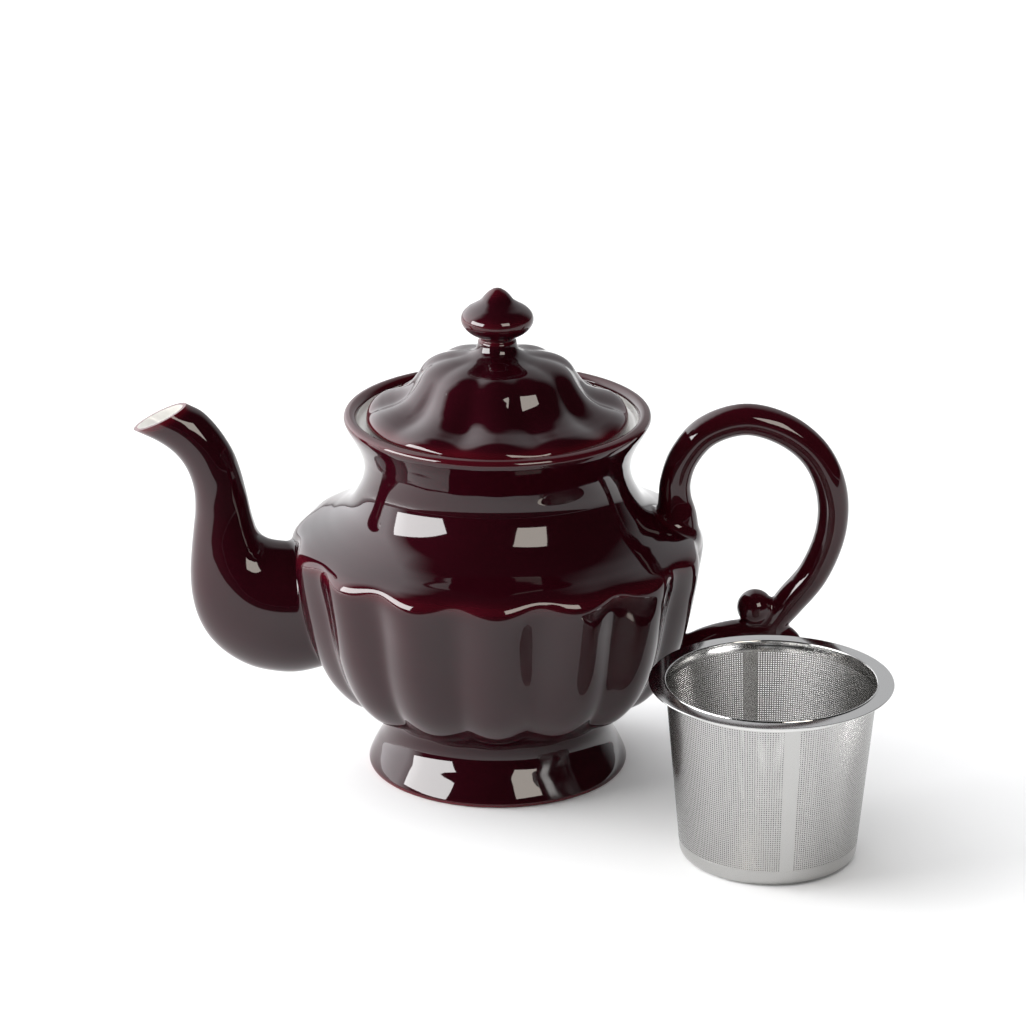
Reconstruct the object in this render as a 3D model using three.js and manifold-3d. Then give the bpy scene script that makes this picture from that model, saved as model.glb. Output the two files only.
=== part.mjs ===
// A glazed stoneware teapot on a pedestal foot, with its lid and its lift-out steel tea infuser.
// The infuser stands on the table beside the pot, in front of the handle.
//
// Units are millimetres and +Z is up. Every piece is drawn round the pot's own axis, with the spout
// along -X and the handle along +X, and at the end the whole set is shifted so that the origin is at
// the bottom centre of the box round it.

import * as THREE from "three";
import { mergeVertices } from "three/addons/utils/BufferGeometryUtils.js";
import Module from "manifold-3d";

const wasm = await Module();
wasm.setup();

// ---------------------------------------------------------------- driving dimensions

const GAP = 0.3; // left between two pieces that touch

const BODY_LOBES = 15; // a lobe faces the front, -Y
const LID_LOBES = 10; // a lobe faces the front
const STEPS_PER_LOBE = 6;
const BODY_SOFTNESS = [[26, 0.12], [60, 0.3], [84, 0.6]]; // rounding of the creases, by height
const LID_SOFTNESS = 0.45;

const ROUND_STEPS = 48;
const KNOB_STEPS = 24;
const TUBE_SIDES = 16;
const LOOP_STEPS = 32;
const ARM_STEPS = 12;

const SEAT_HEIGHT = 127.2; // ledge inside the rim that the lid rests on
const SEAT_INNER_RADIUS = 42.9;
const INFUSER_SEAT_HEIGHT = 125.6; // lower step that the infuser's flange rests on
const THROAT_RADIUS = 39.4;
const FOOT_TOP = 16.1;

const BEAD_CENTRE = new THREE.Vector3(92.1, 0, 58.1);
const BEAD_RADIUS = 6.5;

const PORT_RADIUS = 11; // hole through the body wall into the spout
const PORT_HEIGHT = 56;
const PORT_X = -68;
const PORT_LENGTH = 40;

const LID_EDGE_UNDERSIDE = SEAT_HEIGHT + GAP;
const LID_SKIRT_RADIUS = 35; // the skirt drops inside the infuser's tube
const LID_SKIRT_BOTTOM = 120.5;
const KNOB_BASE = 155.5;

const INFUSER_X = 93.2;
const INFUSER_Y = -80.9;
const INFUSER_HEIGHT = 63.4;
const FLANGE_RADIUS = 41.7;
const FLANGE_THICKNESS = 1.2;
const TUBE_TOP_RADIUS = 36.2; // outside of the steel wall
const TUBE_BOTTOM_RADIUS = 30.2;
const SHEET = 0.6; // thickness of the steel
const COLLAR_BOTTOM = 59.4; // plain collar under the flange
const CUP_TOP = 5.8; // plain side of the base cup
const CUP_EDGE_RADIUS = 3;

// ---------------------------------------------------------------- outlines

// Outline rows are [radius, height, valleyIn, valleyDown]: where the crest of a lobe is, and how far in
// and down from it the valley beside it lies. This one runs from the waist above the foot, round the
// bowl and over the shoulder, up the neck and over the rolled rim.
const BODY_OUTSIDE = [
  [39.9, FOOT_TOP + GAP, 0, 0],
  [40.2, 19.6, 0.1, 0],
  [41.8, 21.8, 0.6, 0.2],
  [45.2, 23.8, 1.2, -0.4],
  [50.0, 26.0, 1.6, -1.2],
  [54.6, 28.6, 2.0, -1.4],
  [58.8, 32.7, 2.4, -1.2],
  [62.5, 37.8, 2.8, -0.8],
  [66.2, 45.6, 3.2, 0],
  [68.9, 53.5, 3.5, 0],
  [70.8, 61.5, 3.8, 0],
  [72.4, 69.5, 4.1, 0],
  [73.5, 76.0, 3.9, 0],
  [74.0, 80.8, 3.3, 0],
  [73.5, 83.6, 2.6, 0],
  [72.4, 85.6, 1.7, 0],
  [70.6, 87.2, 0.8, 0],
  [67.6, 88.7, 0.2, 0],
  [63.0, 90.8, 0, 0],
  [58.6, 93.2, 0, 0],
  [53.0, 97.6, 0, 0],
  [49.5, 103.2, 0, 0],
  [47.4, 110.0, 0, 0],
  [47.8, 116.6, 0, 0],
  [49.9, 121.9, 0, 0],
  [52.6, 126.8, 0, 0],
  [54.2, 130.2, 0, 0],
  [53.6, 131.8, 0, 0],
  [52.0, 132.3, 0, 0],
  [50.6, 131.9, 0, 0],
  [49.6, 130.7, 0, 0],
];

// Inside of the body from the rim down to the middle of the floor: [r, z].
const BODY_INSIDE = [
  [49.2, SEAT_HEIGHT],
  [SEAT_INNER_RADIUS, SEAT_HEIGHT],
  [SEAT_INNER_RADIUS, INFUSER_SEAT_HEIGHT],
  [THROAT_RADIUS, INFUSER_SEAT_HEIGHT],
  [THROAT_RADIUS, 122.5],
  [43.2, 117.5],
  [43.6, 107.5],
  [48.6, 99.0],
  [57.0, 91.5],
  [65.6, 83.0],
  [65.8, 73.0],
  [63.2, 59.0],
  [57.6, 44.5],
  [47.5, 33.5],
  [30.0, 27.2],
  [0, 25.6],
];

// Underside of the body, hidden in the hollow of the foot, from the waist back to the axis: [r, z].
const BODY_UNDERSIDE = [
  [0, 20.4],
  [30.0, 20.4],
  [36.0, FOOT_TOP + GAP],
];

// Ring of the pedestal foot, from the top outer corner down the flare and back up the hollow: [r, z].
const FOOT_RING = [
  [39.8, FOOT_TOP],
  [40.3, 14.0],
  [41.5, 11.2],
  [43.4, 8.0],
  [45.2, 4.6],
  [46.4, 1.8],
  [46.2, 0.5],
  [45.6, 0],
  [41.6, 0],
  [40.6, 3.0],
  [37.4, 9.5],
  [36.0, FOOT_TOP],
];

// Spout: matching points down its underside and its top side, and its half width across: [x, z, x, z, w].
// The first row lies inside the body and the last one is the slanted mouth.
const SPOUT_RIBS = [
  [-58.0, 37.5, -58.0, 82.0, 17.0],
  [-72.0, 34.0, -73.5, 82.6, 17.0],
  [-80.5, 34.4, -79.5, 83.2, 17.0],
  [-89.0, 36.5, -83.2, 84.6, 16.4],
  [-97.4, 41.4, -85.4, 87.4, 15.4],
  [-103.4, 47.6, -86.6, 91.0, 14.3],
  [-107.3, 55.2, -87.5, 94.6, 13.1],
  [-109.2, 63.5, -88.1, 97.8, 12.0],
  [-109.6, 72.0, -88.7, 100.8, 11.0],
  [-109.0, 80.5, -89.4, 104.0, 10.2],
  [-108.1, 88.5, -90.3, 108.0, 9.6],
  [-107.3, 96.0, -91.5, 112.3, 9.1],
  [-107.6, 103.6, -93.2, 116.9, 8.8],
  [-109.6, 110.4, -95.6, 121.4, 8.5],
  [-113.4, 116.3, -98.9, 126.3, 8.3],
  [-119.2, 121.0, -103.6, 131.4, 8.1],
  [-128.4, 125.6, -109.4, 134.8, 7.9],
];
const SPOUT_WALL = 3.0;
const SPOUT_LIP = 1.8;
const POUR_DIRECTION = new THREE.Vector3(-0.8, 0, 0.6);
const CHANNEL_OVERRUN = 6; // the channel is cut this far past the mouth

// Handle loop and lower arm: centre line and half thickness in the plane of the handle: [x, z, t].
const LOOP_LINE = [
  [63.8, 84.0, 8.6],
  [63.8, 92.5, 7.9],
  [62.9, 100.0, 6.1],
  [62.9, 106.0, 5.5],
  [65.8, 115.0, 5.4],
  [73.5, 124.6, 5.5],
  [87.2, 129.1, 5.7],
  [101.1, 125.4, 5.8],
  [112.2, 116.2, 5.7],
  [118.2, 103.0, 5.6],
  [118.7, 87.9, 5.5],
  [112.7, 71.3, 5.5],
  [103.9, 59.8, 5.6],
  [97.8, 50.6, 4.2],
];
const ARM_LINE = [
  [58.0, 37.0, 6.0],
  [67.5, 41.4, 5.4],
  [75.7, 45.6, 5.1],
  [84.0, 47.8, 5.1],
  [92.0, 48.4, 5.1],
  [99.5, 47.9, 5.0],
  [105.3, 45.6, 4.2],
  [108.2, 42.4, 2.6],
];
const HANDLE_FLATTENING = 1.08; // the handle is a little wider across than it is thick

// Outside of the lid, from the knob's seat down to the edge: [radius, height, valleyIn, valleyDown].
const LID_OUTSIDE = [
  [7.9, KNOB_BASE - GAP, 0, 0],
  [9.8, 153.5, 0, 0],
  [13.5, 152.6, 0.1, 0.2],
  [18.4, 151.8, 0.3, 0.4],
  [22.2, 150.7, 0.5, 0.5],
  [25.0, 149.2, 0.7, 0.5],
  [27.0, 147.3, 0.9, 0.5],
  [28.6, 144.8, 1.0, 0.6],
  [30.6, 141.8, 1.3, 0.7],
  [33.4, 138.7, 1.5, 1.0],
  [36.8, 136.8, 1.6, 1.3],
  [40.4, 135.5, 1.6, 1.3],
  [43.2, 134.4, 1.6, 1.2],
  [45.3, 132.9, 1.5, 0.9],
  [46.3, 131.3, 1.5, 0.4],
  [46.2, 128.6, 1.4, 0],
  [45.2, LID_EDGE_UNDERSIDE, 1.2, 0],
];

// Underside of the lid: the flat that rests on the seat, the skirt and the hollow: [r, z].
const LID_INSIDE = [
  [LID_SKIRT_RADIUS + 0.6, LID_EDGE_UNDERSIDE],
  [LID_SKIRT_RADIUS, LID_SKIRT_BOTTOM + 0.8],
  [LID_SKIRT_RADIUS - 1.5, LID_SKIRT_BOTTOM],
  [LID_SKIRT_RADIUS - 3.0, LID_SKIRT_BOTTOM + 0.8],
  [31.2, 129.5],
  [26.2, 136.5],
  [21.8, 144.6],
  [14.0, 148.0],
  [0, 149.2],
];

// Turned knob with a pointed crown, a wide brim and a ringed neck: [r, z].
const KNOB_OUTLINE = [
  [0, KNOB_BASE],
  [7.5, KNOB_BASE],
  [7.0, 157.0],
  [6.7, 158.4],
  [6.2, 159.2],
  [6.9, 160.0],
  [9.6, 161.5],
  [11.5, 163.1],
  [12.6, 165.0],
  [12.8, 166.7],
  [12.1, 168.4],
  [10.4, 170.1],
  [7.9, 171.6],
  [5.9, 173.0],
  [4.6, 174.6],
  [3.1, 176.1],
  [1.5, 177.1],
  [0, 177.5],
];

// ---------------------------------------------------------------- materials

const glaze = new THREE.MeshStandardMaterial({ color: 0x3a0812, roughness: 0.08, metalness: 0 });
const steel = new THREE.MeshStandardMaterial({ color: 0xc9c9c7, roughness: 0.22, metalness: 1 });
const perforated = new THREE.MeshStandardMaterial({ color: 0xaeaeac, roughness: 0.35, metalness: 1 });

// ---------------------------------------------------------------- geometry helpers

// Joins matching rings of points into one closed surface, with a flat fan over each end.
function loft(rings) {
  const count = rings[0].length;
  const points = rings.flat();
  const index = [];
  for (let ring = 0; ring + 1 < rings.length; ring += 1) {
    for (let step = 0; step < count; step += 1) {
      const next = (step + 1) % count;
      const a = ring * count + step;
      const b = ring * count + next;
      index.push(a, b, b + count, a, b + count, a + count);
    }
  }
  for (const [ring, flip] of [[0, true], [rings.length - 1, false]]) {
    const centre = new THREE.Vector3();
    rings[ring].forEach((point) => centre.add(point));
    points.push(centre.divideScalar(count));
    for (let step = 0; step < count; step += 1) {
      const a = ring * count + step;
      const b = ring * count + ((step + 1) % count);
      index.push(...(flip ? [b, a, points.length - 1] : [a, b, points.length - 1]));
    }
  }
  const geometry = new THREE.BufferGeometry().setFromPoints(points);
  geometry.setIndex(index);
  return closed(geometry);
}

// Welds shared corners, drops slivers and turns the faces outwards.
function closed(source) {
  const geometry = source.index ? source.clone() : mergeVertices(source);
  geometry.deleteAttribute("normal");
  geometry.deleteAttribute("uv");
  const welded = mergeVertices(geometry, 1e-4);
  const old = welded.index.array;
  const kept = [];
  for (let i = 0; i < old.length; i += 3) {
    const [a, b, c] = [old[i], old[i + 1], old[i + 2]];
    if (a !== b && b !== c && c !== a) kept.push(a, b, c);
  }
  if (signedVolume(welded.attributes.position, kept) < 0) kept.reverse();
  welded.setIndex(kept);
  return welded;
}

function signedVolume(position, index) {
  const [a, b, c] = [new THREE.Vector3(), new THREE.Vector3(), new THREE.Vector3()];
  let sum = 0;
  for (let i = 0; i < index.length; i += 3) {
    a.fromBufferAttribute(position, index[i]);
    b.fromBufferAttribute(position, index[i + 1]);
    c.fromBufferAttribute(position, index[i + 2]);
    sum += a.dot(b.cross(c)) / 6;
  }
  return sum;
}

// 0 on the crest of a lobe and 1 in the valley; a crest lies at angle 0.
function valleyAmount(angle, lobes, softness) {
  const wave = Math.cos((lobes * angle) / 2);
  const height = Math.hypot(wave, softness) - softness;
  return 1 - height / (Math.hypot(1, softness) - softness);
}

// Softness of the body's creases at a height, read between the rows of BODY_SOFTNESS.
function bodySoftness(height) {
  for (let row = 1; row < BODY_SOFTNESS.length; row += 1) {
    const [low, softAtLow] = BODY_SOFTNESS[row - 1];
    const [high, softAtHigh] = BODY_SOFTNESS[row];
    if (height < high) {
      const share = Math.max(0, (height - low) / (high - low));
      return THREE.MathUtils.lerp(softAtLow, softAtHigh, share);
    }
  }
  return BODY_SOFTNESS.at(-1)[1];
}

// Closed solid round the Z axis from an outline of [radius, height, valleyIn, valleyDown] rows.
function lobed(outline, lobes, softnessAt, grow = 0) {
  const steps = lobes * STEPS_PER_LOBE;
  const rings = outline.map(([radius, height, valleyIn, valleyDown]) => {
    const ring = [];
    for (let step = 0; step < steps; step += 1) {
      const turn = (2 * Math.PI * step) / steps;
      const amount = valleyAmount(turn, lobes, softnessAt(height));
      const reach = radius - valleyIn * amount + grow;
      const level = height - valleyDown * amount;
      ring.push(new THREE.Vector3(reach * Math.sin(turn), -reach * Math.cos(turn), level));
    }
    return ring;
  });
  return loft(rings);
}

const plain = ([radius, height]) => [radius, height, 0, 0];

// Ring or solid turned round the Z axis from [r, z] rows.
function turned(outline, steps = ROUND_STEPS) {
  const onAxis = outline[0][0] === 0 && outline.at(-1)[0] === 0;
  const rows = onAxis ? outline : [...outline, outline[0]];
  const geometry = new THREE.LatheGeometry(rows.map(([r, z]) => new THREE.Vector2(r, z)), steps);
  return closed(geometry.rotateX(Math.PI / 2));
}

// Tube in the XZ plane along a smooth line of [x, z, halfThickness] rows.
function tube(line, steps, grow = 0) {
  const path = new THREE.CatmullRomCurve3(line.map(([x, z]) => new THREE.Vector3(x, 0, z)));
  const sizes = new THREE.CatmullRomCurve3(line.map(([, , t]) => new THREE.Vector3(t, 0, 0)));
  const across = new THREE.Vector3(0, 1, 0);
  const rings = [];
  for (let step = 0; step <= steps; step += 1) {
    const centre = path.getPoint(step / steps);
    const inPlane = path.getTangent(step / steps).cross(across);
    const half = sizes.getPoint(step / steps).x + grow;
    rings.push(ellipse(centre, inPlane.multiplyScalar(half), half * HANDLE_FLATTENING));
  }
  return loft(rings);
}

// Ring of points round a centre: one half axis is a vector in the XZ plane, the other runs along Y.
function ellipse(centre, halfInPlane, halfAcross) {
  const ring = [];
  for (let side = 0; side < TUBE_SIDES; side += 1) {
    const turn = (2 * Math.PI * side) / TUBE_SIDES;
    const point = centre.clone().addScaledVector(halfInPlane, Math.cos(turn));
    point.y += halfAcross * Math.sin(turn);
    ring.push(point);
  }
  return ring;
}

// Skin of the spout set in by a wall thickness that may change along it, and run on past the mouth.
function spoutSkin(wallAt, overrun) {
  const rings = SPOUT_RIBS.map(([underX, underZ, topX, topZ, halfWidth], row) => {
    const wall = wallAt(row / (SPOUT_RIBS.length - 1));
    const centre = new THREE.Vector3((underX + topX) / 2, 0, (underZ + topZ) / 2);
    const half = new THREE.Vector3((topX - underX) / 2, 0, (topZ - underZ) / 2);
    half.setLength(half.length() - wall);
    return ellipse(centre, half, halfWidth - wall);
  });
  if (overrun > 0) {
    rings.push(rings.at(-1).map((point) => point.clone().addScaledVector(POUR_DIRECTION, overrun)));
  }
  return loft(rings);
}

// ---------------------------------------------------------------- booleans

function toSolid(geometry) {
  const welded = closed(geometry);
  return new wasm.Manifold(new wasm.Mesh({
    numProp: 3,
    vertProperties: new Float32Array(welded.attributes.position.array),
    triVerts: new Uint32Array(welded.index.array),
  }));
}

function toGeometry(solid) {
  const mesh = solid.getMesh();
  const geometry = new THREE.BufferGeometry();
  geometry.setAttribute("position", new THREE.BufferAttribute(new Float32Array(mesh.vertProperties), 3));
  geometry.setIndex(new THREE.BufferAttribute(new Uint32Array(mesh.triVerts), 1));
  return geometry;
}

function cut(geometry, ...cutters) {
  return toGeometry(cutters.reduce((rest, cutter) => rest.subtract(toSolid(cutter)), toSolid(geometry)));
}

// ---------------------------------------------------------------- the pot

// Everything inside the body's outer skin, grown by the gap: it trims what is luted to the body.
function bodyEnvelope() {
  return lobed(BODY_OUTSIDE, BODY_LOBES, bodySoftness, GAP);
}

function potBody() {
  const outline = [...BODY_UNDERSIDE.map(plain), ...BODY_OUTSIDE, ...BODY_INSIDE.map(plain)];
  const port = new THREE.CylinderGeometry(PORT_RADIUS, PORT_RADIUS, PORT_LENGTH, TUBE_SIDES);
  port.rotateZ(Math.PI / 2).translate(PORT_X, 0, PORT_HEIGHT);
  return cut(lobed(outline, BODY_LOBES, bodySoftness), port);
}

function foot() {
  return turned(FOOT_RING);
}

function spout() {
  const skin = spoutSkin(() => 0, 0);
  const wall = (along) => THREE.MathUtils.lerp(SPOUT_WALL, SPOUT_LIP, along);
  const channel = spoutSkin(wall, CHANNEL_OVERRUN);
  return cut(skin, channel, bodyEnvelope());
}

function bead(grow = 0) {
  const ball = new THREE.SphereGeometry(BEAD_RADIUS + grow, TUBE_SIDES, TUBE_SIDES / 2 + 2);
  return closed(ball.translate(BEAD_CENTRE.x, BEAD_CENTRE.y, BEAD_CENTRE.z));
}

function handleLoop() {
  return cut(tube(LOOP_LINE, LOOP_STEPS), bodyEnvelope(), bead(GAP), tube(ARM_LINE, ARM_STEPS, GAP));
}

function handleArm() {
  return cut(tube(ARM_LINE, ARM_STEPS), bodyEnvelope(), bead(GAP));
}

// ---------------------------------------------------------------- the lid

function lid() {
  const outline = [plain([0, KNOB_BASE - GAP]), ...LID_OUTSIDE, ...LID_INSIDE.map(plain)];
  return lobed(outline, LID_LOBES, () => LID_SOFTNESS);
}

function lidKnob() {
  return turned(KNOB_OUTLINE, KNOB_STEPS);
}

// ---------------------------------------------------------------- the infuser

function tubeRadius(height) {
  return THREE.MathUtils.mapLinear(height, 0, INFUSER_HEIGHT, TUBE_BOTTOM_RADIUS, TUBE_TOP_RADIUS);
}

// Flat flange with a small raised bead at its inner edge and a plain collar below.
function infuserRim() {
  const top = INFUSER_HEIGHT;
  return turned([
    [tubeRadius(COLLAR_BOTTOM), COLLAR_BOTTOM],
    [tubeRadius(top - FLANGE_THICKNESS), top - FLANGE_THICKNESS],
    [FLANGE_RADIUS - 0.3, top - FLANGE_THICKNESS],
    [FLANGE_RADIUS, top - 0.8],
    [FLANGE_RADIUS - 0.4, top - 0.4],
    [tubeRadius(top) + 1.4, top - 0.4],
    [tubeRadius(top) + 0.6, top],
    [tubeRadius(top) - 0.4, top - 0.3],
    [tubeRadius(COLLAR_BOTTOM) - SHEET, COLLAR_BOTTOM],
  ]);
}

// Tapered sheet wall; its fine holes are too small and too many to be cut here.
function infuserWall() {
  const [low, high] = [CUP_TOP + GAP, COLLAR_BOTTOM - GAP];
  return turned([
    [tubeRadius(low), low],
    [tubeRadius(high), high],
    [tubeRadius(high) - SHEET, high],
    [tubeRadius(low) - SHEET, low],
  ]);
}

// Shallow cup with a rounded edge that closes the bottom.
function infuserBase() {
  const side = tubeRadius(CUP_EDGE_RADIUS);
  const corner = (radius, share) => [
    side - CUP_EDGE_RADIUS + radius * Math.sin(share * Math.PI / 2),
    CUP_EDGE_RADIUS - radius * Math.cos(share * Math.PI / 2),
  ];
  return turned([
    [0, 0],
    ...[0, 1 / 3, 2 / 3, 1].map((share) => corner(CUP_EDGE_RADIUS, share)),
    [tubeRadius(CUP_TOP), CUP_TOP],
    [tubeRadius(CUP_TOP) - SHEET, CUP_TOP],
    ...[1, 0.5, 0].map((share) => corner(CUP_EDGE_RADIUS - SHEET, share)),
    [0, SHEET],
  ]);
}

// ---------------------------------------------------------------- assembly

function piece(name, geometry, material) {
  const mesh = new THREE.Mesh(geometry, material.clone());
  mesh.name = name;
  return mesh;
}

const pot = new THREE.Group();
pot.add(
  piece("pot_body", potBody(), glaze),
  piece("foot", foot(), glaze),
  piece("spout", spout(), glaze),
  piece("handle_loop", handleLoop(), glaze),
  piece("handle_bead", bead(), glaze),
  piece("handle_arm", handleArm(), glaze),
);

const lidGroup = new THREE.Group();
lidGroup.add(piece("lid", lid(), glaze), piece("lid_knob", lidKnob(), glaze));

const infuser = new THREE.Group();
infuser.position.set(INFUSER_X, INFUSER_Y, 0);
infuser.add(
  piece("infuser_rim", infuserRim(), steel),
  piece("infuser_wall", infuserWall(), perforated),
  piece("infuser_base", infuserBase(), steel),
);

const teapotSet = new THREE.Group();
teapotSet.add(pot, lidGroup, infuser);

// The origin goes to the bottom centre of the box round the whole set.
const box = new THREE.Box3().setFromObject(teapotSet);
const centre = box.getCenter(new THREE.Vector3());
teapotSet.position.set(-centre.x, -centre.y, -box.min.z);

export default teapotSet;
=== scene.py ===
"""Looks for a lobed, oxblood-glazed teapot and its perforated steel infuser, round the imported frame.

Outlines and sizes are in millimetres, measured from the pot's own axis, or from the infuser's for its
pieces, with z = 0 on the table. Meshes are made in metres at the places that the CAD nodes give.
"""

import math

import bmesh
import bpy
import numpy as np
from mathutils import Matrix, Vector


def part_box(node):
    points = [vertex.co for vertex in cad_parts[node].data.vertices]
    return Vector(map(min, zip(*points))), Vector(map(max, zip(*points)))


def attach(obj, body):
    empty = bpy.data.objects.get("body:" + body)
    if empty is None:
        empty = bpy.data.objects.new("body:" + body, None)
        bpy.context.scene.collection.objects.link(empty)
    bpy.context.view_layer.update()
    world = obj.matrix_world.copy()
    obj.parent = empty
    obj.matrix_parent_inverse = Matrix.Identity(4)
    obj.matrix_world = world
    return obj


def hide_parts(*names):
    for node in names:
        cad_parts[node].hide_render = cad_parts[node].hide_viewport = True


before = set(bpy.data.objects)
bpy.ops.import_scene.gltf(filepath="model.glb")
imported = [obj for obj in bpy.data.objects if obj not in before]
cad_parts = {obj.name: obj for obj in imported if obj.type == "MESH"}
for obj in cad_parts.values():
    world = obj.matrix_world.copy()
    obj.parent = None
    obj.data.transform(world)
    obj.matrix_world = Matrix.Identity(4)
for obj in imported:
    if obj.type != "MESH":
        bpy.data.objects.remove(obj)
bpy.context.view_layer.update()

MM = 0.001


def axis_of(node):
    """Where a round CAD node's vertical axis meets the table, in metres."""
    low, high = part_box(node)
    return np.array([(low[0] + high[0]) / 2, (low[1] + high[1]) / 2, 0.0])


POT_AXIS = axis_of("foot")
INFUSER_AXIS = axis_of("infuser_wall")

# ---------------------------------------------------------------- driving dimensions, in mm

BODY_LOBES = 15  # a crest faces the front, -Y
LID_LOBES = 10  # a crest faces the front
STEPS_PER_BODY_LOBE = 20
STEPS_PER_LID_LOBE = 24
STEPS_PER_OUTLINE_SPAN = 5
STEPS_PER_BAR_SPAN = 8  # down the spout and the handle's bars
# How softly a valley is rounded, at these heights on the pot and all over the lid.
POT_SOFTNESS_HEIGHTS = (26.0, 60.0, 84.0)
POT_SOFTNESS = (0.12, 0.3, 0.6)
LID_SOFTNESS = 0.45

# Outline rows are (radius, height, valley_in, valley_down): where the crest of a lobe is, and how far
# in and down from it the valley beside it lies. This one runs from the table, up the foot, round the
# bowl and shoulder, up the neck and over the rolled rim.
POT_OUTSIDE = [
    (45.6, 0.0, 0, 0),
    (46.3, 0.4, 0, 0),
    (46.5, 1.2, 0, 0),
    (46.2, 2.3, 0, 0),
    (45.2, 4.6, 0, 0),
    (43.4, 8.0, 0, 0),
    (41.4, 11.4, 0, 0),
    (40.2, 14.6, 0, 0),
    (39.8, 17.2, 0, 0),
    (40.2, 19.6, 0.1, 0),
    (41.8, 21.8, 0.6, 0.2),
    (45.2, 23.8, 1.2, -0.4),
    (50.0, 26.0, 1.6, -1.2),
    (54.6, 28.6, 2.0, -1.4),
    (58.8, 32.7, 2.4, -1.2),
    (62.5, 37.8, 2.8, -0.8),
    (66.2, 45.6, 3.2, 0),
    (68.9, 53.5, 3.5, 0),
    (70.8, 61.5, 3.8, 0),
    (72.4, 69.5, 4.1, 0),
    (73.5, 76.0, 3.9, 0),
    (73.9, 80.8, 3.3, 0),
    (73.5, 83.6, 2.6, 0),
    (72.4, 85.6, 1.7, 0),
    (70.6, 87.2, 0.8, 0),
    (67.6, 88.7, 0.2, 0),
    (63.0, 90.8, 0, 0),
    (58.6, 93.2, 0, 0),
    (53.0, 97.6, 0, 0),
    (49.5, 103.2, 0, 0),
    (47.7, 108.0, 0, 0),
    (47.2, 112.6, 0, 0),
    (48.0, 117.3, 0, 0),
    (49.9, 121.9, 0, 0),
    (52.6, 126.8, 0, 0),
    (53.8, 129.1, 0, 0),
    (54.2, 130.6, 0, 0),
    (53.6, 131.8, 0, 0),
    (52.0, 132.3, 0, 0),
]
# (radius, height) from inside the rim, over the lid's seat and the infuser's step, down to the floor.
POT_INSIDE = [
    (50.6, 131.9),
    (49.6, 130.7),
    (49.2, 127.2),
    (42.9, 127.2),
    (42.9, 125.6),
    (39.4, 125.6),
    (39.4, 122.5),
    (43.2, 117.5),
    (43.6, 107.5),
    (48.6, 99.0),
    (57.0, 91.5),
    (65.4, 84.0),
    (65.8, 73.0),
    (63.2, 59.0),
    (57.6, 44.5),
    (47.5, 33.5),
    (30.0, 27.2),
    (0, 25.6),
]
# (radius, height) from under the middle of the floor, down the hollow foot to the table.
POT_UNDERSIDE = [
    (0, 20.4),
    (30.0, 20.0),
    (35.6, 17.0),
    (37.4, 9.5),
    (40.6, 3.0),
    (41.6, 0.6),
    (42.4, 0.0),
]
POT_INSIDE_ROUNDING = 1.6
POT_UNDERSIDE_ROUNDING = 1.2
BOWL_FROM = 17.0  # the outline above this height is the bowl's, and below it the foot's
FOOT_RING_ROWS = 6  # how many rows of the underside, before it meets the table, are left unglazed
RIM_ROWS_GLAZED_RED = 4  # how many rows of the inside, from the top, the red glaze runs over
# Where the red glaze runs thin: (height, spread, amount, only from this radius outwards).
POT_THIN_GLAZE = [
    (0.4, 0.9, 0.9, 44),
    (84.6, 2.2, 0.22, 66),
    (131.4, 1.4, 0.3, 0),
]
# The port is a round hole along x, through the body's wall into the spout.
PORT_RADIUS = 11.0
PORT_HEIGHT = 56.0
PORT_REACH = (-85.0, -52.0)

# Lid and knob in one outline, from the bottom edge of the lid up the dome to the tip of the knob.
LID_OUTSIDE = [
    (45.3, 127.7, 0.2, 0),
    (46.2, 128.6, 0.2, 0),
    (46.5, 129.9, 0.3, 0.1),
    (46.3, 131.3, 0.4, 0.4),
    (45.3, 132.9, 0.7, 0.8),
    (43.2, 134.4, 1.1, 1.1),
    (40.4, 135.5, 1.4, 1.3),
    (36.8, 136.8, 1.6, 1.3),
    (33.4, 138.7, 1.5, 1.0),
    (30.6, 141.8, 1.3, 0.7),
    (28.6, 144.8, 1.0, 0.6),
    (27.0, 147.3, 0.9, 0.5),
    (25.0, 149.2, 0.7, 0.5),
    (22.2, 150.7, 0.5, 0.5),
    (18.4, 151.8, 0.3, 0.4),
    (13.5, 152.6, 0.1, 0.2),
    (9.8, 153.5, 0, 0),
    (7.8, 155.0, 0, 0),
    (7.0, 157.0, 0, 0),
    (6.7, 158.4, 0, 0),
    (6.2, 159.2, 0, 0),
    (6.9, 160.0, 0, 0),
    (9.6, 161.5, 0, 0),
    (11.5, 163.1, 0, 0),
    (12.6, 165.0, 0, 0),
    (12.75, 166.7, 0, 0),
    (12.1, 168.4, 0, 0),
    (10.4, 170.1, 0, 0),
    (7.9, 171.6, 0, 0),
    (5.9, 173.0, 0, 0),
    (4.6, 174.6, 0, 0),
    (3.1, 176.1, 0, 0),
    (1.5, 177.1, 0, 0),
]
# (radius, height) from the top of the lid's hollow, down and round its skirt, out to its edge.
LID_UNDERSIDE = [
    (0, 149.2),
    (14.0, 148.0),
    (21.8, 144.6),
    (26.2, 136.5),
    (31.2, 129.5),
    (32.0, 121.3),
    (33.0, 120.6),
    (34.2, 120.6),
    (35.0, 121.4),
    (35.6, 127.6),
]
LID_UNDERSIDE_ROUNDING = 0.8
KNOB_TIP = 177.5
LID_THIN_GLAZE = [
    (130.8, 1.6, 0.5, 42),
    (166.5, 2.0, 0.25, 0),
    (177.0, 2.0, 0.3, 0),
    (158.8, 0.8, 0.4, 0),
]

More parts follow.
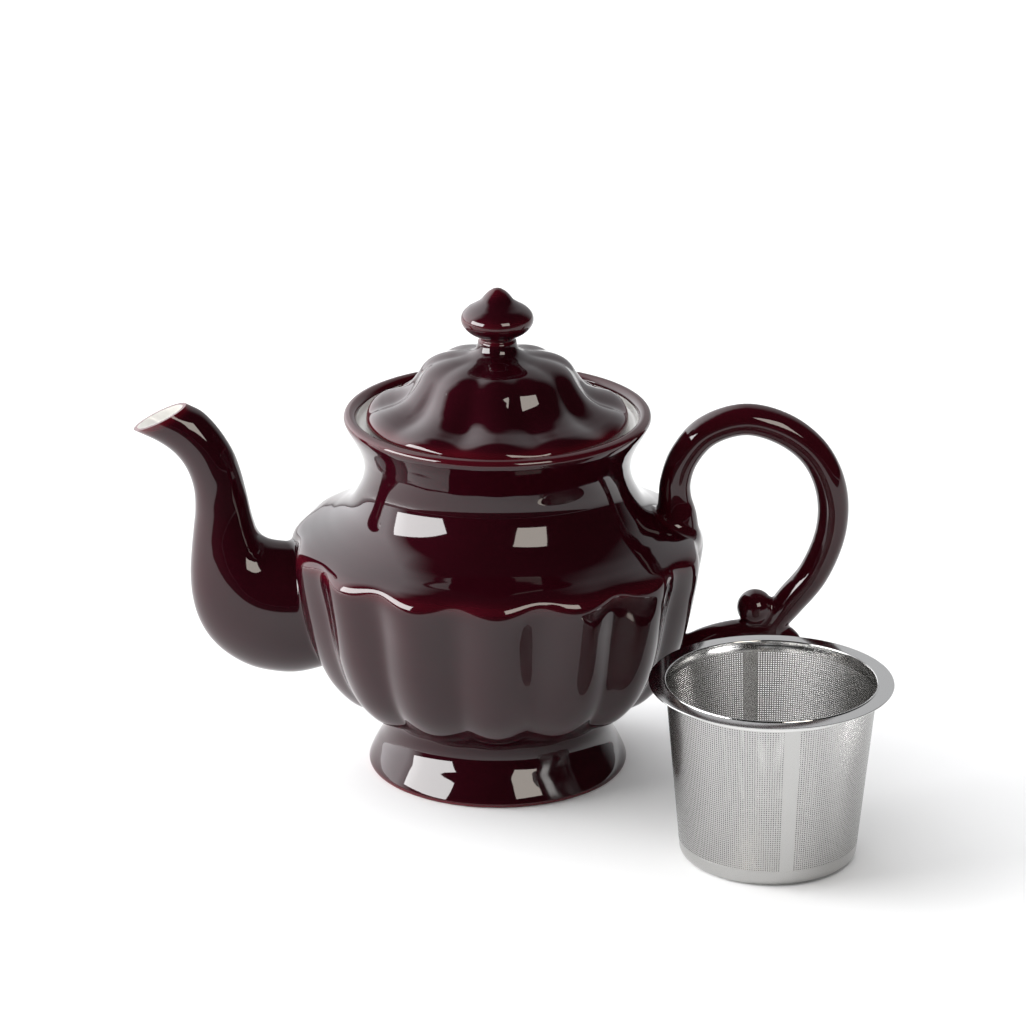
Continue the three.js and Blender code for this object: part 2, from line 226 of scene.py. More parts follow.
# Spout ribs: matching points down its underside and its top side, and its half width across.
SPOUT_RIBS = [
    (-58.0, 37.5, -58.0, 82.0, 17.0),
    (-72.0, 34.0, -73.5, 82.6, 17.0),
    (-80.5, 34.4, -79.5, 83.2, 17.0),
    (-89.0, 36.5, -83.2, 84.6, 16.4),
    (-97.4, 41.4, -85.4, 87.4, 15.4),
    (-103.4, 47.6, -86.6, 91.0, 14.3),
    (-107.3, 55.2, -87.5, 94.6, 13.1),
    (-109.2, 63.5, -88.1, 97.8, 12.0),
    (-109.6, 72.0, -88.7, 100.8, 11.0),
    (-109.0, 80.5, -89.4, 104.0, 10.2),
    (-108.1, 88.5, -90.3, 108.0, 9.6),
    (-107.3, 96.0, -91.5, 112.3, 9.1),
    (-107.6, 103.6, -93.2, 116.9, 8.8),
    (-109.6, 110.4, -95.6, 121.4, 8.5),
    (-113.4, 116.3, -98.9, 126.3, 8.3),
    (-119.2, 121.0, -103.6, 131.4, 8.1),
    (-128.2, 125.5, -109.4, 134.6, 7.9),
]
SPOUT_WALL = 3.0
SPOUT_LIP = 1.5
SPOUT_SIDES = 96
SPOUT_FILLET = 2.2
SPOUT_BURIED = 0.8  # how far the fillet's edge is sunk under the body's skin
SPOUT_HOLLOW_FROM = 3.0  # the hollow starts where its ring comes this near to the body's skin
LIP_THIN_RINGS = 3.0  # over how many rings from the lip the glaze is thin, and how thin
LIP_THIN_AMOUNT = 0.6

# Handle centre lines in the plane of the handle, with half the thickness: (x, z, half).
LOOP_LINE = [
    (63.8, 86.0, 8.0),
    (63.6, 93.0, 7.2),
    (62.9, 100.0, 5.9),
    (63.0, 106.0, 5.5),
    (65.8, 115.0, 5.4),
    (73.5, 124.4, 5.5),
    (87.2, 129.0, 5.6),
    (101.1, 125.3, 5.7),
    (112.2, 116.2, 5.6),
    (118.2, 103.0, 5.6),
    (118.6, 87.9, 5.5),
    (112.7, 71.3, 5.5),
    (103.9, 59.8, 5.5),
    (99.0, 52.6, 4.6),
]
ARM_LINE = [
    (60.0, 38.0, 5.6),
    (67.5, 41.4, 5.2),
    (75.7, 45.4, 5.0),
    (84.0, 47.6, 5.0),
    (92.0, 48.4, 5.0),
    (99.5, 47.9, 4.8),
    (105.0, 45.6, 3.6),
    (107.6, 43.0, 2.2),
]
HANDLE_FLATTENING = 1.08  # wider across than it is thick
BEAD = (92.1, 58.1, 6.5)
HANDLE_BOX = ((48.0, -16.0, 28.0), (128.0, 16.0, 138.0))
HANDLE_CELL = 0.8
HANDLE_ROOT_FILLET = 3.0
HANDLE_SKIRT = 6.0  # how far the handle spreads under the body's skin round its roots
SKIRT_DEPTH = 0.04  # how far under the skin the skirt lies at the fillet, and how fast it dives
SKIRT_SLOPE = 0.12
HANDLE_BURIED = 1.6  # how far the roots go under the body's skin
HANDLE_THIN_GLAZE = 0.12
BEAD_FILLET = 2.0

INFUSER_HEIGHT = 63.4
FLANGE_RADIUS = 41.7
TUBE_TOP_RADIUS = 36.2
TUBE_BOTTOM_RADIUS = 30.2
SHEET = 0.4
FLANGE_THICKNESS = 0.5
BEAD_ROLL = 0.42
BEAD_STANDS = 0.35  # how far the rolled bead stands above the flange
COLLAR_BOTTOM = 59.4
CUP_TOP = 5.8
CUP_EDGE_RADIUS = 3.0
HOLE_COLUMN_PITCH = 0.82
HOLE_ROW_PITCH = 0.76
HOLE_RADIUS = 0.235
HOLES_TOP = 59.2
HOLES_BOTTOM = 6.0
WALL_OVERLAP = 0.6  # how far the wall goes behind the collar and the cup
WALL_INSET = 0.02  # how far the wall's faces lie inside those of the collar and the cup
BAND_WIDTH = 4.5
BAND_ANGLES = (math.radians(8.6), math.radians(188.6))
WALL_PANELS = 6
FLOOR_RADIUS = 25.6
FLOOR_PLAIN_EDGE = 1.2
FLOOR_BENT_EDGE = 0.7  # the grid is bent round within this distance of the floor's edge


# ---------------------------------------------------------------- curves and surfaces

def spline(rows, per_span):
    """Centripetal Catmull-Rom curve through rows of any width."""
    points = np.array(rows, float)
    first = 2 * points[0] - points[1]
    last = 2 * points[-1] - points[-2]
    points = np.vstack([first, points, last])
    out = []
    for i in range(1, len(points) - 2):
        p0, p1, p2, p3 = points[i - 1:i + 3]
        t0 = 0.0
        t1 = t0 + max(np.linalg.norm(p1 - p0), 1e-6) ** 0.5
        t2 = t1 + max(np.linalg.norm(p2 - p1), 1e-6) ** 0.5
        t3 = t2 + max(np.linalg.norm(p3 - p2), 1e-6) ** 0.5
        for t in np.linspace(t1, t2, per_span, endpoint=False):
            a1 = (t1 - t) / (t1 - t0) * p0 + (t - t0) / (t1 - t0) * p1
            a2 = (t2 - t) / (t2 - t1) * p1 + (t - t1) / (t2 - t1) * p2
            a3 = (t3 - t) / (t3 - t2) * p2 + (t - t2) / (t3 - t2) * p3
            b1 = (t2 - t) / (t2 - t0) * a1 + (t - t0) / (t2 - t0) * a2
            b2 = (t3 - t) / (t3 - t1) * a2 + (t - t1) / (t3 - t1) * a3
            out.append((t2 - t) / (t2 - t1) * b1 + (t - t1) / (t2 - t1) * b2)
    out.append(points[-2])
    return np.array(out)


def rounded(rows, radius, steps=4):
    """Straight-sided outline with its corners rounded off, each over less than half of its sides."""
    points = np.array(rows, float)
    out = [points[0]]
    for before, corner, after in zip(points, points[1:], points[2:]):
        back = before - corner
        on = after - corner
        reach = min(radius, np.linalg.norm(back) * 0.45, np.linalg.norm(on) * 0.45)
        start = corner + back / np.linalg.norm(back) * reach
        end = corner + on / np.linalg.norm(on) * reach
        for t in np.linspace(0, 1, steps):
            out.append((1 - t) ** 2 * start + 2 * t * (1 - t) * corner + t ** 2 * end)
    out.append(points[-1])
    return np.array(out)


def with_no_valley(rows):
    """Outline rows of (radius, height) with nothing in the two columns for the valleys."""
    return np.hstack([rows, np.zeros((len(rows), 2))])


def valley_amount(angle, lobes, softness):
    """0 on the crest of a lobe, 1 in the valley; a crest lies at angle 0."""
    wave = np.cos(lobes * angle / 2)
    return 1 - (np.hypot(wave, softness) - softness) / (np.hypot(1, softness) - softness)


def pot_softness(height):
    """How softly the pot's valleys are rounded at a height."""
    return np.interp(height, POT_SOFTNESS_HEIGHTS, POT_SOFTNESS)


def turned(outline, lobes, steps, softness):
    """Closed solid round the Z axis from outline rows that start and end on the axis.

    Returns points, faces and the outline row that each face starts from. Angles run from the front.
    softness(height) says how softly the valleys between lobes are rounded.
    """
    turn = np.arange(steps) / steps * 2 * math.pi
    middle = outline[1:-1]
    amount = valley_amount(turn, lobes, softness(middle[:, 1:2]))
    radius = middle[:, :1] - middle[:, 2:3] * amount
    height = middle[:, 1:2] - middle[:, 3:4] * amount
    ring = np.stack([radius * np.sin(turn), -radius * np.cos(turn), height], -1)
    points = np.vstack([ring.reshape(-1, 3), [[0, 0, outline[0][1]]], [[0, 0, outline[-1][1]]]])
    start, end = len(points) - 2, len(points) - 1
    faces = []
    rows = []
    for step in range(steps):
        after = (step + 1) % steps
        faces.append((start, step, after))
        rows.append(0)
        for row in range(len(middle) - 1):
            a, b = row * steps + step, row * steps + after
            faces.append((a, a + steps, b + steps, b))
            rows.append(row + 1)
        last = (len(middle) - 1) * steps
        faces.append((last + after, last + step, end))
        rows.append(len(middle))
    return points, faces, np.array(rows)


def piece(name, points, faces, centre, sharp_degrees=40):
    """Smooth-shaded object from points in mm round a centre on the table."""
    mesh = bpy.data.meshes.new(name)
    mesh.from_pydata((np.asarray(points) * MM + centre).tolist(), [], [tuple(f) for f in faces])
    mesh.validate()
    mesh.shade_smooth()
    mesh.set_sharp_from_angle(angle=math.radians(sharp_degrees))
    obj = bpy.data.objects.new(name, mesh)
    bpy.context.scene.collection.objects.link(obj)
    return obj


def face_out(obj):
    """Turns the faces of a closed mesh outwards."""
    work = bmesh.new()
    work.from_mesh(obj.data)
    if work.calc_volume(signed=True) < 0:
        bmesh.ops.reverse_faces(work, faces=work.faces)
        work.to_mesh(obj.data)
    work.free()
    return obj


# ---------------------------------------------------------------- the body's skin as a field

POT_SKIN = spline(POT_OUTSIDE, STEPS_PER_OUTLINE_SPAN)
BOWL_SKIN = POT_SKIN[POT_SKIN[:, 1] > BOWL_FROM]


def distance_to_outline(radius, height, outline):
    """Signed distance from (radius, height) to an outline that climbs with the inside on its left."""
    best = np.full(radius.shape, np.inf)
    sign = np.ones(radius.shape)
    for a, b in zip(outline, outline[1:]):
        along = b - a
        length2 = along @ along
        t = np.clip(((radius - a[0]) * along[0] + (height - a[1]) * along[1]) / length2, 0, 1)
        dx = radius - a[0] - t * along[0]
        dz = height - a[1] - t * along[1]
        distance = np.hypot(dx, dz)
        nearer = distance < best
        side = np.where(dx * along[1] - dz * along[0] > 0, 1.0, -1.0)
        sign = np.where(nearer, side, sign)
        best = np.where(nearer, distance, best)
    return best * sign


def body_field(points):
    """Signed distance, in mm, outside the lobed skin of the bowl, shoulder and neck."""
    radius = np.hypot(points[..., 0], points[..., 1])
    angle = np.arctan2(points[..., 0], -points[..., 1])
    height = points[..., 2]
    depth = np.interp(height, BOWL_SKIN[:, 1], BOWL_SKIN[:, 2])
    inwards = depth * valley_amount(angle, BODY_LOBES, pot_softness(height))
    return distance_to_outline(radius + inwards, height, BOWL_SKIN[:, :2])


def gradient(field, points, step=0.02):
    """Slope of a field at each point."""
    out = np.zeros_like(points)
    for axis in range(3):
        shift = np.zeros(3)
        shift[axis] = step
        out[..., axis] = (field(points + shift) - field(points - shift)) / (2 * step)
    return out


def onto(field, points, rounds=4, longest=0.3):
    """Moves points onto the surface where a field is zero, in steps of a limited length."""
    for _ in range(rounds):
        slope = gradient(field, points)
        size = np.maximum(np.linalg.norm(slope, axis=-1), 1e-6)
        step = np.clip(field(points) / size, -longest, longest)
        points = points - (step / size)[..., None] * slope
    return points


def blend_union(a, b, reach):
    """Joins two fields with a fillet of about the given reach."""
    h = np.clip(1 - np.abs(a - b) / reach, 0, None)
    return np.minimum(a, b) - h * h * reach / 4


def surface_net(field, low, high, cell):
    """Closed quad mesh of the surface where a field is zero, inside a box."""
    axes = [np.arange(low[i], high[i] + cell, cell) for i in range(3)]
    grid = np.stack(np.meshgrid(*axes, indexing="ij"), -1)
    value = field(grid)
    corner = [value[i:value.shape[0] - 1 + i, j:value.shape[1] - 1 + j, k:value.shape[2] - 1 + k]
              for i in (0, 1) for j in (0, 1) for k in (0, 1)]
    total = np.zeros(corner[0].shape + (3,))
    count = np.zeros(corner[0].shape)
    place = np.array([(i, j, k) for i in (0, 1) for j in (0, 1) for k in (0, 1)], float)
    for a in range(8):
        for b in range(a + 1, 8):
            if np.abs(place[a] - place[b]).sum() != 1:
                continue
            crossed = (corner[a] < 0) != (corner[b] < 0)
            t = np.where(crossed, corner[a] / np.where(crossed, corner[a] - corner[b], 1), 0)
            total += crossed[..., None] * (place[a] + t[..., None] * (place[b] - place[a]))
            count += crossed
    used = count > 0
    number = np.full(used.shape, -1)
    number[used] = np.arange(used.sum())
    cells = np.argwhere(used)
    points = np.array(low) + cell * (cells + total[used] / count[used][:, None])
    faces = []
    for axis in range(3):
        order = (axis, (axis + 1) % 3, (axis + 2) % 3)
        inside = np.transpose(value < 0, order)
        near_end, far_end = inside[:-1, 1:-1, 1:-1], inside[1:, 1:-1, 1:-1]
        index = np.transpose(number, order)
        quads = np.stack([index[:, :-1, :-1], index[:, 1:, :-1], index[:, 1:, 1:], index[:, :-1, 1:]], -1)
        faces += quads[near_end & ~far_end].tolist()
        faces += quads[far_end & ~near_end][:, ::-1].tolist()
    return points, faces


# ---------------------------------------------------------------- materials

def new_material(name, colour, roughness, metallic=0.0, ior=1.5):
    """Plain material; returns it with its node tree and its shader."""
    material = bpy.data.materials.new(name)
    material.use_nodes = True
    shader = material.node_tree.nodes["Principled BSDF"]
    shader.inputs["Base Color"].default_value = (*colour, 1)
    shader.inputs["Roughness"].default_value = roughness
    shader.inputs["Metallic"].default_value = metallic
    shader.inputs["IOR"].default_value = ior
    return material, material.node_tree, shader


def noise(tree, scale):
    """Noise over the object's own coordinates, in features per metre."""
    coordinates = tree.nodes.new("ShaderNodeTexCoord")
    texture = tree.nodes.new("ShaderNodeTexNoise")
    texture.inputs["Scale"].default_value = scale
    texture.inputs["Detail"].default_value = 3.0
    tree.links.new(coordinates.outputs["Object"], texture.inputs["Vector"])
    return texture.outputs["Fac"]


def mixed(tree, factor, low, high):
    """Colour between two colours, as far along as a factor socket says."""
    mix = tree.nodes.new("ShaderNodeMix")
    mix.data_type = "RGBA"
    mix.inputs["A"].default_value = (*low, 1)
    mix.inputs["B"].default_value = (*high, 1)
    tree.links.new(factor, mix.inputs["Factor"])
    return mix.outputs["Result"]


def ranged(tree, value, low, high, from_low=0.0, from_high=1.0):
    """Value that goes from low to high as a socket goes from from_low to from_high."""
    node = tree.nodes.new("ShaderNodeMapRange")
    node.inputs["From Min"].default_value = from_low
    node.inputs["From Max"].default_value = from_high
    node.inputs["To Min"].default_value = low
    node.inputs["To Max"].default_value = high
    tree.links.new(value, node.inputs["Value"])
    return node.outputs["Result"]


def product(tree, a, b):
    """Product of two sockets."""
    node = tree.nodes.new("ShaderNodeMath")
    node.operation = "MULTIPLY"
    tree.links.new(a, node.inputs[0])
    tree.links.new(b, node.inputs[1])
    return node.outputs["Value"]


def oxblood_glaze():
    """Dark red glaze, redder where it has run thin over edges."""
    material, tree, shader = new_material("oxblood_glaze", (0.01, 0.001, 0.003), 0.04, ior=1.47)
    thin = tree.nodes.new("ShaderNodeAttribute")
    thin.attribute_name = "thin"
    pooled = mixed(tree, noise(tree, 35.0), (0.013, 0.0009, 0.0024), (0.021, 0.0014, 0.0039))
    mix = tree.nodes.new("ShaderNodeMix")
    mix.data_type = "RGBA"
    tree.links.new(thin.outputs["Fac"], mix.inputs["Factor"])
    tree.links.new(pooled, mix.inputs["A"])
    mix.inputs["B"].default_value = (0.11, 0.005, 0.011, 1)
    tree.links.new(mix.outputs["Result"], shader.inputs["Base Color"])
    return material


def white_glaze():
    """Slightly uneven white glaze of the inside."""
    material, tree, shader = new_material("white_glaze", (0.82, 0.81, 0.78), 0.12)
    colour = mixed(tree, noise(tree, 60.0), (0.80, 0.785, 0.75), (0.86, 0.85, 0.825))
    tree.links.new(colour, shader.inputs["Base Color"])
    return material


def bare_clay():
    """Speckled pale clay of the unglazed foot ring."""
    material, tree, shader = new_material("bare_clay", (0.62, 0.55, 0.48), 0.8)
    colour = mixed(tree, noise(tree, 900.0), (0.5, 0.43, 0.37), (0.68, 0.61, 0.54))
    tree.links.new(colour, shader.inputs["Base Color"])
    return material


def polished_steel():
    """Steel of the flange."""
    material, tree, shader = new_material("polished_steel", (0.64, 0.637, 0.63), 0.1, 1.0)
    tree.links.new(ranged(tree, noise(tree, 140.0), 0.08, 0.16), shader.inputs["Roughness"])
    return material


def sheet_steel():
    """Satin steel of the basket's wall, cup and floor."""
    material, _, _ = new_material("sheet_steel", (0.48, 0.475, 0.466), 0.24, 1.0)
    return material


GLAZE = oxblood_glaze()
WHITE = white_glaze()
CLAY = bare_clay()
POLISHED = polished_steel()
SHEET_STEEL = sheet_steel()


def paint(obj, materials, indices=None):
    """Gives an object its materials; indices say which of them each face has."""
    for material in materials:
        obj.data.materials.append(material)
    if indices is not None:
        obj.data.polygons.foreach_set("material_index", np.asarray(indices, dtype=np.int32))


def set_thin(obj, values):
    """How thin the glaze is at each point, from 0 to 1."""
    layer = obj.data.attributes.new("thin", "FLOAT", "POINT")
    layer.data.foreach_set("value", np.asarray(values, dtype=np.float32))


# ---------------------------------------------------------------- the pot

def thin_glaze(points, places):
    """How thin the glaze is at each point, from bell curves over the height at the places listed."""
    radius = np.hypot(points[:, 0], points[:, 1])
    thin = np.zeros(len(points))
    for height, spread, amount, from_radius in places:
        thin += np.exp(-((points[:, 2] - height) / spread) ** 2) * (radius >= from_radius) * amount
    return np.clip(thin, 0, 1)


def make_pot():
    """Foot, bowl, neck and rim in one skin: red outside, white inside, bare under the foot ring."""
    inside = rounded(POT_INSIDE, POT_INSIDE_ROUNDING)
    underside = rounded(POT_UNDERSIDE, POT_UNDERSIDE_ROUNDING)
    outline = np.vstack([with_no_valley(underside), POT_SKIN, with_no_valley(inside)])
    steps = BODY_LOBES * STEPS_PER_BODY_LOBE
    points, faces, rows = turned(outline, BODY_LOBES, steps, pot_softness)
    obj = face_out(piece("pot", points, faces, POT_AXIS))
    ring_to = len(underside) - 1
    white_from = len(underside) + len(POT_SKIN) + RIM_ROWS_GLAZED_RED
    indices = np.where(rows >= white_from, 1, 0)
    indices[(rows >= ring_to - FOOT_RING_ROWS) & (rows <= ring_to)] = 2
    paint(obj, [GLAZE, WHITE, CLAY], indices)
    set_thin(obj, thin_glaze(points, POT_THIN_GLAZE))
    return obj


def make_lid():
    """Lid and knob in one skin, white underneath."""
    outside = spline(LID_OUTSIDE, STEPS_PER_OUTLINE_SPAN)
    underside = rounded(LID_UNDERSIDE, LID_UNDERSIDE_ROUNDING)
    top = np.array([[0, KNOB_TIP, 0, 0]])
    outline = np.vstack([with_no_valley(underside), outside, top])
    steps = LID_LOBES * STEPS_PER_LID_LOBE
    points, faces, rows = turned(outline, LID_LOBES, steps, lambda height: LID_SOFTNESS)
    obj = face_out(piece("lid_with_knob", points, faces, POT_AXIS, sharp_degrees=50))
    paint(obj, [GLAZE, WHITE], np.where(rows < len(underside) - 1, 1, 0))
    set_thin(obj, thin_glaze(points, LID_THIN_GLAZE))
    return obj


# ---------------------------------------------------------------- the spout

def spout_rings(ribs, wall):
    """Rings of points down the spout from ribs, set in by a wall thickness."""
    turn = np.arange(SPOUT_SIDES) / SPOUT_SIDES * 2 * math.pi
    rings = []
    for row, (under_x, under_z, top_x, top_z, half_width) in enumerate(ribs):
        centre = np.array([(under_x + top_x) / 2, 0, (under_z + top_z) / 2])
        half = np.array([(top_x - under_x) / 2, 0, (top_z - under_z) / 2])
        length = np.linalg.norm(half)
        half *= (length - wall[row]) / length
        across = np.array([0, half_width - wall[row], 0])
        rings.append(centre + np.outer(np.cos(turn), half) + np.outer(np.sin(turn), across))
    return np.array(rings)


def fillet_to_body(rings, size, steps=6):
    """Ends each line of points that runs into the body with a fillet onto its skin."""
    lines = rings.transpose(1, 0, 2)
    out = []
    for line in lines:
        value = body_field(line)
        inside = np.argmax(value > 0) - 1
        t = value[inside] / (value[inside] - value[inside + 1])
        meet = line[inside] + t * (line[inside + 1] - line[inside])
        rest = np.vstack([meet, line[inside + 1:]])
        travelled = np.concatenate([[0], np.cumsum(np.linalg.norm(np.diff(rest, axis=0), axis=1))])
        start = np.array([np.interp(size, travelled, rest[:, i]) for i in range(3)])
        out.append((meet, start, rest, travelled))
    meets = np.array([m for m, _, _, _ in out])
    normal = gradient(body_field, meets)
    normal /= np.linalg.norm(normal, axis=1, keepdims=True)
    ring_centre = meets.mean(0)
    away = meets - ring_centre
    away -= (away * normal).sum(1, keepdims=True) * normal
    away /= np.linalg.norm(away, axis=1, keepdims=True)
    landing = onto(body_field, meets + away * size, rounds=8, longest=1.0)
    count = len(rings)
    grid = []
    for index, (meet, start, rest, travelled) in enumerate(out):
        curve = [(1 - t) ** 2 * landing[index] + 2 * t * (1 - t) * meet + t * t * start
                 for t in np.linspace(0, 1, steps, endpoint=False)]
        stations = np.linspace(size, travelled[-1], count)
        line = np.stack([np.interp(stations, travelled, rest[:, i]) for i in range(3)], -1)
        grid.append(np.vstack([landing[index] - SPOUT_BURIED * normal[index], curve, line]))
    return np.array(grid).transpose(1, 0, 2)


def make_spout():
    """Hollow spout, red outside and white inside, filleted onto the body."""
    ribs = spline(SPOUT_RIBS, STEPS_PER_BAR_SPAN)
    outer = fillet_to_body(spout_rings(ribs, np.zeros(len(ribs))), SPOUT_FILLET)
    wall = np.linspace(SPOUT_WALL, SPOUT_LIP, len(ribs))
    inner = spout_rings(ribs, wall)
    keep = [i for i, ring in enumerate(inner) if body_field(ring).max() > -SPOUT_HOLLOW_FROM]
    inner = inner[keep[0]:]
    rings = np.concatenate([outer, inner[::-1]])
    count, sides = len(rings), SPOUT_SIDES
    faces = []
    for ring in range(count):
        following = (ring + 1) % count
        for side in range(sides):
            after = (side + 1) % sides
            faces.append((ring * sides + side, ring * sides + after,
                          following * sides + after, following * sides + side))
    obj = face_out(piece("spout_skin", rings.reshape(-1, 3), faces, POT_AXIS, sharp_degrees=50))
    paint(obj, [GLAZE, WHITE], [1 if f[0] // sides >= len(outer) else 0 for f in faces])
    along = np.repeat(np.arange(count), sides)
    set_thin(obj, np.exp(-((along - len(outer) + 1) / LIP_THIN_RINGS) ** 2) * LIP_THIN_AMOUNT)
    return obj


# ---------------------------------------------------------------- the handle

def tube_field(points, line, flattening):
    """Distance outside a bar that follows a line of (x, z, half) in the plane y = 0."""
    curve = spline(line, STEPS_PER_BAR_SPAN)
    best = np.full(points.shape[:-1], np.inf)
    half = np.zeros(points.shape[:-1])
    x, y, z = points[..., 0], points[..., 1], points[..., 2]
    for a, b in zip(curve, curve[1:]):
        dx, dz = b[0] - a[0], b[1] - a[1]
        t = np.clip(((x - a[0]) * dx + (z - a[1]) * dz) / (dx * dx + dz * dz), 0, 1)
        distance = np.hypot(x - a[0] - t * dx, z - a[1] - t * dz)
        nearer = distance < best
        best = np.where(nearer, distance, best)
        half = np.where(nearer, a[2] + t * (b[2] - a[2]), half)
    return np.hypot(best, y / flattening) - half


def handle_field(points):
    """Distance outside the handle's bars and bead, filleted to the body with a skirt under its skin."""
    loop = tube_field(points, LOOP_LINE, HANDLE_FLATTENING)
    arm = tube_field(points, ARM_LINE, HANDLE_FLATTENING)
    x, z, radius = BEAD
    bead = np.sqrt((points[..., 0] - x) ** 2 + points[..., 1] ** 2 + (points[..., 2] - z) ** 2) - radius
    bars = blend_union(blend_union(loop, arm, BEAD_FILLET), bead, BEAD_FILLET)
    body = body_field(points)
    dive = SKIRT_DEPTH + SKIRT_SLOPE * np.maximum(bars - HANDLE_ROOT_FILLET, 0)
    joined = blend_union(bars, body + dive, HANDLE_ROOT_FILLET)
    joined = np.maximum(joined, bars - HANDLE_SKIRT)
    return np.maximum(joined, -HANDLE_BURIED - body)


def make_handle():
    """Loop, bead and lower arm in one skin."""
    points, faces = surface_net(handle_field, *HANDLE_BOX, HANDLE_CELL)
    points = onto(handle_field, points)
    obj = face_out(piece("handle", points, faces, POT_AXIS, sharp_degrees=60))
    paint(obj, [GLAZE])
    set_thin(obj, np.full(len(points), HANDLE_THIN_GLAZE))
    return obj


# ---------------------------------------------------------------- the infuser

def tube_radius(height):
    """Outside radius of the basket's tapered wall at a height."""
    return TUBE_BOTTOM_RADIUS + (TUBE_TOP_RADIUS - TUBE_BOTTOM_RADIUS) * height / INFUSER_HEIGHT


def ring_solid(name, outline, steps=192):
    """Closed ring round the infuser's axis from an outline that closes on itself."""
    turn = np.arange(steps) / steps * 2 * math.pi
    outline = np.asarray(outline, float)
    ring = np.stack([np.outer(outline[:, 0], np.sin(turn)), -np.outer(outline[:, 0], np.cos(turn)),
                     np.repeat(outline[:, 1:2], steps, 1)], -1)
    count = len(outline)
    faces = []
    for row in range(count):
        below = (row + 1) % count
        for step in range(steps):
            after = (step + 1) % steps
            faces.append((row * steps + step, row * steps + after,
                          below * steps + after, below * steps + step))
    return face_out(piece(name, ring.reshape(-1, 3), faces, INFUSER_AXIS, sharp_degrees=35))


def make_flange():
    """Flat flange with a small rolled bead at its inner edge and a plain collar below."""
    top = INFUSER_HEIGHT
    inner = tube_radius(top)
    face = top - BEAD_STANDS
    under = face - FLANGE_THICKNESS
    turned_down = under - 1.0
    edge = FLANGE_RADIUS
    bead = [(inner + BEAD_ROLL * math.cos(a), top - BEAD_ROLL + BEAD_ROLL * math.sin(a))
            for a in np.linspace(math.radians(10), math.radians(180), 10)]
    obj = ring_solid("infuser_flange", [
        (tube_radius(COLLAR_BOTTOM), COLLAR_BOTTOM),
        (tube_radius(turned_down), turned_down),
        (inner + 0.25, under - 0.25),
        (inner + 0.8, under),
        (edge - 0.4, under),
        (edge - 0.12, under + 0.02),
        (edge, under + 0.14),
        (edge, face - 0.14),
        (edge - 0.12, face - 0.02),
        (edge - 0.3, face),
        (inner + 0.75, face),
        (inner + 0.55, face),
        *bead,
        (inner - BEAD_ROLL, under - 0.6),
        (tube_radius(turned_down) - SHEET, turned_down),
        (tube_radius(COLLAR_BOTTOM) - SHEET, COLLAR_BOTTOM),
    ])
    paint(obj, [POLISHED])
    return obj


def perforated_sheet(name, place, across, up, holed):
    """Closed thin sheet over a grid of cells, with a round hole through each cell that is marked.

    place(u, v, side) gives points of the outer (side 0) or inner (side 1) face, across and up hold the
    cells' edges, and holed says for each cell, by column and row, whether it has a hole.
    """
    columns, rows = len(across) - 1, len(up) - 1
    column, row = np.meshgrid(np.arange(columns), np.arange(rows), indexing="ij")
    corner_u, corner_v = np.meshgrid(across, up, indexing="ij")
    number = np.arange((columns + 1) * (rows + 1)).reshape(columns + 1, rows + 1)
    corner = np.stack([number[:-1, :-1], number[1:, :-1], number[1:, 1:], number[:-1, 1:]], -1)
    middle_u = (across[column] + across[column + 1])[holed] / 2
    middle_v = (up[row] + up[row + 1])[holed] / 2
    # A hole has eight corners, and each side of its cell is joined to three of them.
    turn = np.arange(8) * math.pi / 4 - 3 * math.pi / 4
    hole_u = middle_u[:, None] + HOLE_RADIUS * np.cos(turn)
    hole_v = middle_v[:, None] + HOLE_RADIUS * np.sin(turn)
    rim = number.size + np.arange(hole_u.size).reshape(-1, 8)
    u = np.concatenate([corner_u.ravel(), hole_u.ravel()])
    v = np.concatenate([corner_v.ravel(), hole_v.ravel()])
    count = len(u)
    front = corner[~holed].tolist()
    ends = corner[holed]
    walls = []
    for side in range(4):
        following = (side + 1) % 4
        hole = [rim[:, (2 * side + k) % 8] for k in (2, 1, 0)]
        front += np.stack([ends[:, side], ends[:, following], *hole], -1).tolist()
    for k in range(8):
        a, b = rim[:, k], rim[:, (k + 1) % 8]
        walls += np.stack([a, b, b + count, a + count], -1).tolist()
    border = np.concatenate([number[:, 0], number[-1, 1:], number[-2::-1, -1], number[0, -2::-1]])
    walls += [[b, a, a + count, b + count] for a, b in zip(border, border[1:])]
    back = [[i + count for i in face[::-1]] for face in front]
    points = np.vstack([place(u, v, 0), place(u, v, 1)])
    return face_out(piece(name, points, front + back + walls, INFUSER_AXIS, sharp_degrees=50))


